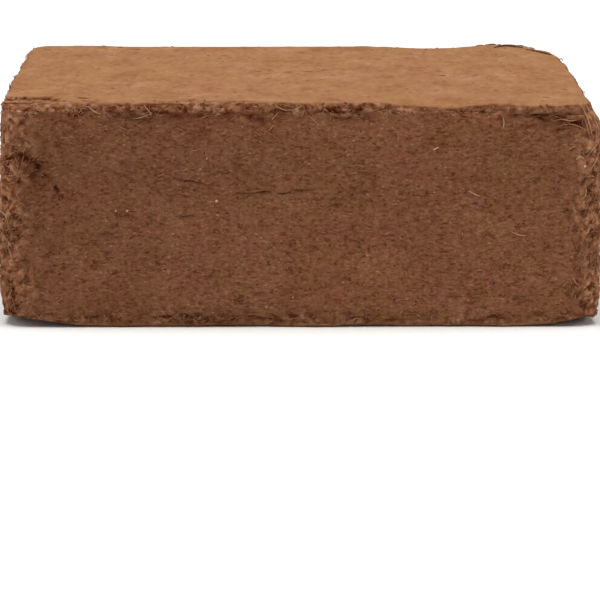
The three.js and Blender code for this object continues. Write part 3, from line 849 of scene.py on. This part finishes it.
def fibre_tree():
    """Fibres lying over a surface: each dips in and out of it, curls, and follows it round its corners."""
    tree, given, identifiers = new_tree("loose_fibres", FIBRE_INPUTS)
    places, normal = scattered(tree, given)

    # each fibre lies along the surface: about level on a wall, and from left to right on the flat faces
    level = add(tree, "VectorMath", {0: normal, 1: (0, 0, 1)}, operation="CROSS_PRODUCT")
    upward = add(tree, "SeparateXYZ", {0: normal}, out="Z")
    upward = add(tree, "Math", {0: upward, 1: LEVEL_KEEN}, operation="POWER")
    aside = add(tree, "VectorMath", {0: (1, 0, 0), "Scale": upward}, operation="SCALE")
    level = add(tree, "VectorMath", {0: level, 1: aside}, operation="ADD")
    level = add(tree, "VectorMath", {0: level}, operation="NORMALIZE")
    steep = add(tree, "VectorMath", {0: level, 1: normal}, operation="CROSS_PRODUCT")
    least = add(tree, "Math", {0: given["Slant"], 1: -1.0}, operation="MULTIPLY")
    slant = chance(tree, given, "slant", least, given["Slant"])
    across = add(tree, "Math", {0: slant}, operation="COSINE")
    upward = add(tree, "Math", {0: slant}, operation="SINE")
    level = add(tree, "VectorMath", {0: level, "Scale": across}, operation="SCALE")
    steep = add(tree, "VectorMath", {0: steep, "Scale": upward}, operation="SCALE")
    lie = add(tree, "VectorMath", {0: level, 1: steep}, operation="ADD")
    turned = add(tree, "AxesToRotation", {"Primary Axis": normal, "Secondary Axis": lie},
                 primary_axis="Z", secondary_axis="X")
    line = add(tree, "CurvePrimitiveLine", {"Start": (-0.5, 0, 0), "End": (0.5, 0, 0)})
    line = add(tree, "ResampleCurve", {"Curve": line, "Count": given["Bends"]})
    length = chance(tree, given, "length", given["Shortest"], given["Longest"])
    size = add(tree, "CombineXYZ", {"X": length, "Y": 1.0, "Z": 1.0})
    made = add(tree, "InstanceOnPoints", {"Points": places, "Instance": line, "Rotation": turned,
                                          "Scale": size})
    made = add(tree, "RealizeInstances", {"Geometry": made})

    # each fibre keeps a tone and a number of its own, and curls in a way of its own
    made = toned(tree, given, made, "CURVE")
    own = chance(tree, given, "own", index=add(tree, "InputIndex"))
    made = add(tree, "StoreNamedAttribute", {"Geometry": made, "Name": "own", "Value": own},
               data_type="FLOAT", domain="CURVE")
    own = add(tree, "InputNamedAttribute", {"Name": "own"}, data_type="FLOAT")
    shift = add(tree, "VectorMath", {0: OWN_SWAY, "Scale": own}, operation="SCALE")
    place = add(tree, "InputPosition")
    place = add(tree, "VectorMath", {0: place, 1: shift}, operation="ADD")
    waves = add(tree, "Math", {0: 1.0, 1: given["Curl length"]}, operation="DIVIDE")
    swing = add(tree, "TexNoise", {"Vector": place, "Scale": waves, "Detail": 1.0}, out="Color")
    swing = add(tree, "VectorMath", {0: swing, 1: (0.5, 0.5, 0.5)}, operation="SUBTRACT")
    for much in (given["Curl"], SWINGS):
        swing = add(tree, "VectorMath", {0: swing, "Scale": much}, operation="SCALE")
    made = add(tree, "SetPosition", {"Geometry": made, "Offset": swing})

    # it then follows the surface, from a little under it to a little above it
    nearest = add(tree, "Proximity", {"Target": given["Surface"]}, target_element="FACES")
    out = add(tree, "SampleNearestSurface", {"Mesh": given["Surface"]}, data_type="FLOAT_VECTOR")
    tree.links.new(add(tree, "InputNormal"), out.node.inputs["Value"])
    heave = add(tree, "VectorMath", {0: place, 1: OTHER_SWAY}, operation="ADD")
    heave = add(tree, "TexNoise", {"Vector": heave, "Scale": waves, "Detail": 0.0})
    lowest = add(tree, "Math", {0: given["Sink"], 1: -1.0}, operation="MULTIPLY")
    heave = add(tree, "MapRange", {"Value": heave, "From Min": HEAVES[0], "From Max": HEAVES[1],
                                   "To Min": lowest, "To Max": given["Rise"]}, clamp=False)
    lift = add(tree, "VectorMath", {0: out, "Scale": heave}, operation="SCALE")
    lift = add(tree, "VectorMath", {0: nearest, 1: lift}, operation="ADD")
    lift = add(tree, "VectorMath", {0: lift, 1: FIBRE_FLOOR}, operation="MAXIMUM")
    made = add(tree, "SetPosition", {"Geometry": made, "Position": lift})
    flat = add(tree, "SeparateXYZ", {0: out}, out="Z")
    flat = add(tree, "Math", {0: flat}, operation="ABSOLUTE")
    flat = add(tree, "Math", {0: flat, 1: given["Flattest"]}, operation="GREATER_THAN")
    made = add(tree, "DeleteGeometry", {"Geometry": made, "Selection": flat}, domain="POINT")

    # it is round, a little stouter or finer than its neighbours, and thin at its ends
    along = add(tree, "SplineParameter")
    taper = add(tree, "Math", {0: along, 1: 2.0, 2: -1.0}, operation="MULTIPLY_ADD")
    taper = add(tree, "Math", {0: taper, 1: TAPER_KEEN}, operation="POWER")
    taper = add(tree, "Math", {0: taper, 1: THIN_END, 2: 1.0}, operation="MULTIPLY_ADD")
    stout = add(tree, "Math", {0: own, 1: STOUTNESS[0], 2: STOUTNESS[1]}, operation="MULTIPLY_ADD")
    width = add(tree, "Math", {0: stout, 1: given["Thickness"]}, operation="MULTIPLY")
    width = add(tree, "Math", {0: width, 1: taper}, operation="MULTIPLY")
    section = add(tree, "CurvePrimitiveCircle", {"Resolution": 3, "Radius": 1.0})
    made = add(tree, "CurveToMesh", {"Curve": made, "Profile Curve": section, "Scale": width,
                                     "Fill Caps": True})
    finish_tree(tree, made, given["Material"])
    return tree, identifiers


def crumb_tree():
    """Crumbs of pith and chips of husk, flattened onto a surface and half buried in it."""
    tree, given, identifiers = new_tree("crumbs", CRUMB_INPUTS)
    places, normal = scattered(tree, given)
    ball = add(tree, "MeshIcoSphere", {"Radius": 0.5, "Subdivisions": 1})
    across = chance(tree, given, "turn", 0.0, FULL_TURN)
    around = add(tree, "AxisAngleToRotation", {"Axis": (0, 0, 1), "Angle": across})
    upright = add(tree, "AlignRotationToVector", {"Vector": normal}, axis="Z")
    turned = add(tree, "RotateRotation", {"Rotation": upright, "Rotate By": around}, rotation_space="LOCAL")
    size = chance(tree, given, "size", given["Smallest"], given["Largest"])
    stretch = chance(tree, given, "stretch", *CRUMB_STRETCH)
    shape = add(tree, "CombineXYZ", {"X": stretch, "Y": CRUMB_WIDTH, "Z": CRUMB_HEIGHT})
    size = add(tree, "VectorMath", {0: shape, "Scale": size}, operation="SCALE")
    made = add(tree, "InstanceOnPoints", {"Points": places, "Instance": ball, "Rotation": turned,
                                          "Scale": size})
    made = toned(tree, given, made, "INSTANCE")
    made = add(tree, "RealizeInstances", {"Geometry": made})
    above = add(tree, "InputPosition")
    above = add(tree, "VectorMath", {0: above, 1: CRUMB_FLOOR}, operation="MAXIMUM")
    made = add(tree, "SetPosition", {"Geometry": made, "Position": above})
    finish_tree(tree, made, given["Material"])
    return tree, identifiers


def strand_tree():
    """Single fibres drawn through given points, as thick as their points say."""
    tree, given, identifiers = new_tree("single_fibres", STRAND_INPUTS)
    made = add(tree, "MeshToCurve", {"Mesh": given["Lines"]})
    made = add(tree, "CurveSplineType", {"Curve": made}, spline_type="CATMULL_ROM")
    made = add(tree, "ResampleCurve", {"Curve": made, "Length": given["Step"]}, mode="LENGTH")
    section = add(tree, "CurvePrimitiveCircle", {"Resolution": 4, "Radius": 1.0})
    width = add(tree, "InputNamedAttribute", {"Name": "half_width"}, data_type="FLOAT")
    made = add(tree, "CurveToMesh", {"Curve": made, "Profile Curve": section, "Scale": width,
                                     "Fill Caps": True})
    finish_tree(tree, made, given["Material"])
    return tree, identifiers


def show(name, data):
    """A mesh, a lamp or a camera as an object of the scene, at the origin."""
    thing = bpy.data.objects.new(name, data)
    bpy.context.scene.collection.objects.link(thing)
    return thing


def claim(piece):
    """Declare a piece as part of the bale, and say how many triangles it has."""
    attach(piece, BODY)
    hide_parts(NODE)
    print(piece.name, sum(len(face.vertices) - 2 for face in piece.data.polygons), "triangles")


def grown(name, carrier_mesh, tree, identifiers, values):
    """Run a geometry tree over a mesh and keep what it makes as a plain mesh of its own."""
    carrier = show(name + "_carrier", carrier_mesh)
    modifier = carrier.modifiers.new(name, "NODES")
    modifier.node_group = tree
    for key, value in values.items():
        modifier[identifiers[key]] = value * MM if key in LENGTHS else value
    made = bpy.data.meshes.new_from_object(carrier.evaluated_get(bpy.context.evaluated_depsgraph_get()))
    made.name = name
    carrier.modifiers.remove(modifier)
    bpy.data.objects.remove(carrier)
    claim(show(name, made))


# Single fibres that stand out, in millimetres: tone, thickness, then places across and up the front wall
STRANDS = [
    (0.75, 0.6, (-12.5, 110.5), (-6, 108.2), (1, 110.4)), (0.68, 0.5, (1.6, 110.4), (1.9, 108), (0.6, 105)),
    (0.9, 0.7, (4.5, 105.4), (9, 101)), (0.75, 0.5, (-15, 98.5), (-13.4, 101)),
    (0.9, 0.7, (-149.5, 42), (-145, 40.5), (-142.8, 35)),
    (0.8, 0.9, (-148.6, 58), (-145.5, 55.4), (-144, 50)),
    (0.75, 0.8, (-147.5, 53), (-144, 52.2), (-141.5, 54)),
    (0.8, 0.8, (-148.8, 50), (-146, 48.6), (-143.4, 50)),
    (0.9, 0.7, (144.6, 52.5), (147.4, 55.5), (149.8, 59)), (0.75, 0.9, (139, 110), (142.4, 102), (144, 95)),
    (0.7, 0.7, (140, 106.6), (141.8, 99), (143.2, 93)),
    (0.72, 0.7, (142.5, 96), (145, 98), (147.6, 96), (146.6, 92.4), (144, 91.8)),
    (0.8, 0.8, (148, 92), (144.6, 88.6), (141.5, 85)), (0.95, 0.6, (136, 84), (138, 85.3), (140, 84.2)),
    (0.85, 0.5, (138.2, 64), (140.6, 65.6), (141.2, 68), (140.8, 72.6)),
    (0.72, 0.8, (141.5, 109.6), (145.4, 102), (147.2, 95)),
    (0.78, 0.7, (143.5, 108), (147, 99.5), (148.6, 91)), (0.66, 0.8, (145, 104), (146.4, 97), (145.6, 90)),
    (0.62, 0.6, (116.5, 106.4), (124, 107.8), (130, 110)),
    (0.6, 0.5, (122, 104.6), (128, 106.6), (133, 107.2)),
    (0.65, 0.6, (124, 102.4), (129, 103.6), (134, 102.8), (139, 104.4)),
    (0.6, 0.5, (127, 100.2), (133, 101.2), (138, 100)),
    (0.85, 0.6, (-139.5, 59.5), (-138, 59), (-138.3, 55.6)), (0.9, 0.6, (-143.6, 5.5), (-138.4, 6.2)),
    (0.85, 0.5, (-77, 111), (-75, 108.6), (-73.4, 106.6)),
    (0.8, 0.5, (-83, 104.2), (-79, 104.6), (-74.5, 106.4)),
    (0.85, 0.6, (100, 104.6), (100.4, 101.6), (99.6, 99)), (0.7, 0.5, (70.6, 105), (74.8, 98.6)),
    # painted shade: thin dark strands along the cracks between the layers
    (0.08, 0.5, (-60, 56.1), (-56, 56), (-52.5, 56.6)), (0.15, 0.4, (-32, 67.6), (-25, 67.2), (-20, 67.7)),
    (0.05, 0.6, (-22, 67.8), (-18, 68.1), (-14.5, 67.8)),
    (0.08, 0.6, (-11.5, 67.4), (-8, 67.2), (-4.6, 67.9)), (0.2, 0.5, (-5, 68.9), (0, 68.6), (6.5, 69.1)),
    (0.05, 0.6, (-57.5, 73.2), (-54, 73.4), (-50, 72.4)), (0.18, 0.5, (-63, 74.6), (-59, 74), (-56, 73.6)),
    (0.22, 0.5, (-50, 72.4), (-45, 71.4), (-40, 71.2)),
    # pale chips of husk
    (1.0, 1.9, (-41.9, 63.1), (-40.6, 63.7)), (0.8, 0.5, (-46, 63), (-42.6, 63.2)),
    (0.7, 1.9, (-50, 79), (-48.6, 79.6)), (0.95, 1.9, (-91.5, 58.6), (-90.6, 58.6)),
    (0.95, 2.0, (-86, 58.8), (-85.2, 58.4)), (0.7, 0.8, (-35, 79), (-34, 78.6)),
    (0.85, 1.4, (8.2, 44.4), (8.8, 44.4)), (0.75, 0.8, (11.8, 91.4), (12.8, 91.2)),
    (0.9, 1.7, (20.6, 22.8), (22, 22.6)), (0.95, 1.3, (65.6, 88.8), (68.2, 90)),
    (0.85, 1.0, (84.6, 26.8), (85.4, 26.8)), (0.8, 0.6, (104.5, 48), (108, 46.5), (112, 46)),
    (1.0, 1.8, (140, 80.2), (141, 80.6)), (0.75, 0.5, (-53.6, 88.6), (-51, 88.5)),
    (0.7, 0.5, (-43.8, 83), (-41.8, 83.2)), (0.7, 0.8, (-8.4, 77), (-7.4, 77)),
    (0.65, 0.8, (26, 83), (27, 82.8)), (0.65, 0.5, (16, 80.6), (18.6, 80.4)),
    (0.85, 0.6, (83, 68.4), (86.5, 66.6), (90, 65.4)), (0.8, 0.6, (69.4, 75.3), (73, 75.2)),
    (0.8, 0.7, (140, 75), (144.5, 80), (149, 88)),
]
# The same on the top, by places from left to right and from front to back, and how far they stand off it
TOP_STRANDS = [
    (0.2, 0.7, (109.7, 128.4), (113.4, 135.5), (118.1, 138.6)),
    (0.1, 0.8, (114, 137), (118, 137.6), (121.1, 135.8)),
    (0.25, 0.8, (119, 137), (122.1, 134), (126.1, 131.8)),
    (0.15, 0.6, (112, 131.5), (117, 134.6), (122.2, 131.2)), (0.3, 0.7, (127.3, 124), (130.9, 120.1)),
    (0.15, 0.8, (129.9, 121), (134.5, 108.4), (138.7, 97.1)),
    (0.1, 0.7, (133, 111), (136, 103), (139.4, 93)),
    (0.3, 0.6, (142.4, 70), (143.4, 70.5, 1.4), (144.2, 71, 3)),
]
STRAND_CAST = 2                       # rays towards the bale start 1 m off it and reach this far, in metres
STRAND_LIFT = 0.25                    # how far the strands lie off the surface
STRAND_STEP = 0.8 * MM
STRAND_ENDS = 0.6                     # how thick they are at their ends, against the middle


def strand_lines(solid, skin):
    """The single fibres' points, laid on the front wall and the top, as edges that bridge the hollows."""
    rough_skin = BVHTree.FromPolygons([vertex.co for vertex in skin.vertices],
                                      [face.vertices for face in skin.polygons])
    verts, edges, tones, widths = [], [], [], []
    for from_side, strands in ((Vector((0, -1, 0)), STRANDS), (Vector((0, 0, 1)), TOP_STRANDS)):
        for tone, thickness, *places in strands:
            for number, (x, along, *off) in enumerate(places):
                start = Vector((x, 0, along) if strands is STRANDS else (x, along, 0)) * MM + from_side
                hits = [tree.ray_cast(start, -from_side, STRAND_CAST)[0] for tree in (solid, rough_skin)]
                hits = [hit for hit in hits if hit] or [solid.find_nearest(start)[0]]
                hit = max(hits, key=from_side.dot)
                if number:
                    edges.append((len(verts) - 1, len(verts)))
                verts.append(hit + from_side * (STRAND_LIFT + sum(off)) * MM)
                tones.append(tone)
                widths.append(thickness / 2 * MM * (STRAND_ENDS if number in (0, len(places) - 1) else 1))
    lines = bpy.data.meshes.new("strand_lines")
    lines.from_pydata(verts, edges, [])
    for name, values in (("tone", tones), ("half_width", widths)):
        lines.attributes.new(name, "FLOAT", "POINT").data.foreach_set("value", values)
    return lines


def make_bale():
    """The roughened skin, and the loose fibres and crumbs on it."""
    solid = merged_solid()
    surface, skin = skin_meshes(solid)
    skin.materials.append(pressed_coir())
    claim(show("bale_skin", skin))
    fibre = coir_fibre()
    for make_tree, kinds in ((fibre_tree, FIBRES), (crumb_tree, CRUMBS)):
        tree, identifiers = make_tree()
        names = [name for name in identifiers if name not in ("Surface", "Material")]
        for name, values in kinds.items():
            grown(name, surface, tree, identifiers, dict(zip(names, values), Material=fibre))
    tree, identifiers = strand_tree()
    lines = strand_lines(solid, skin)
    grown("single_fibres", lines, tree, identifiers, {"Step": STRAND_STEP, "Material": fibre})


# The studio

FLOOR_HALF = 30.0
SENSOR = 36
CAMERA = {"place": (-0.0189, -2.2953, 0.3454), "down": 8.774, "right": 0.50, "lens": 263.1, "reach": 100}
# Each light's strength, how broad it is, and how it is tipped about the x and y axes, in degrees
SUNS = [("overhead", 2.85, 50, (8, -3)), ("from_the_left", 1.0, 40, (0, -70)),
        ("from_the_right", 0.9, 40, (0, 70))]


def make_floor():
    """A wide, plain, near-white floor."""
    mesh = bpy.data.meshes.new("floor")
    corners = [(x * FLOOR_HALF, y * FLOOR_HALF, 0) for x, y in ((-1, -1), (1, -1), (1, 1), (-1, 1))]
    mesh.from_pydata(corners, [], [(0, 1, 2, 3)])
    paper, tree = plain_material("matt_white_paper")
    shader = add(tree, "BsdfPrincipled", {"Base Color": linear("#efeeec"), "Roughness": 1.0,
                                          "Specular IOR Level": 0.0})
    add(tree, "OutputMaterial", {"Surface": shader})
    mesh.materials.append(paper)
    show("floor", mesh)


def make_light():
    """A broad soft light overhead, weaker ones from the sides, and a pale room brightest near the horizon."""
    for name, strength, spread, tilt in SUNS:
        lamp = bpy.data.lights.new(name, "SUN")
        lamp.energy = strength
        lamp.angle = math.radians(spread)
        show(name, lamp).rotation_euler = (math.radians(tilt[0]), math.radians(tilt[1]), 0)
    world = bpy.data.worlds.new("pale_room")
    bpy.context.scene.world = world
    world.use_nodes = True
    tree = world.node_tree
    tree.nodes.clear()
    up = add(tree, "SeparateXYZ", {0: add(tree, "TexCoord", out="Generated")}, out="Z")
    glow = add(tree, "ValToRGB", {"Fac": up}, stops=[(0.06, "#ffffff"), (0.30, "#7c7c7c")])
    room = add(tree, "Background", {"Color": glow, "Strength": 1.0})
    add(tree, "OutputWorld", {"Surface": room})


def make_camera():
    """The photograph's viewpoint: a long lens, a little above the top of the bale."""
    lens = bpy.data.cameras.new("camera")
    lens.lens = CAMERA["lens"]
    lens.sensor_width = SENSOR
    lens.clip_end = CAMERA["reach"]
    camera = show("camera", lens)
    camera.location = CAMERA["place"]
    camera.rotation_euler = (math.radians(90 - CAMERA["down"]), 0, math.radians(-CAMERA["right"]))
    bpy.context.scene.camera = camera


make_bale()
make_floor()
make_light()
make_camera()
bpy.context.scene.view_settings.view_transform = "Standard"
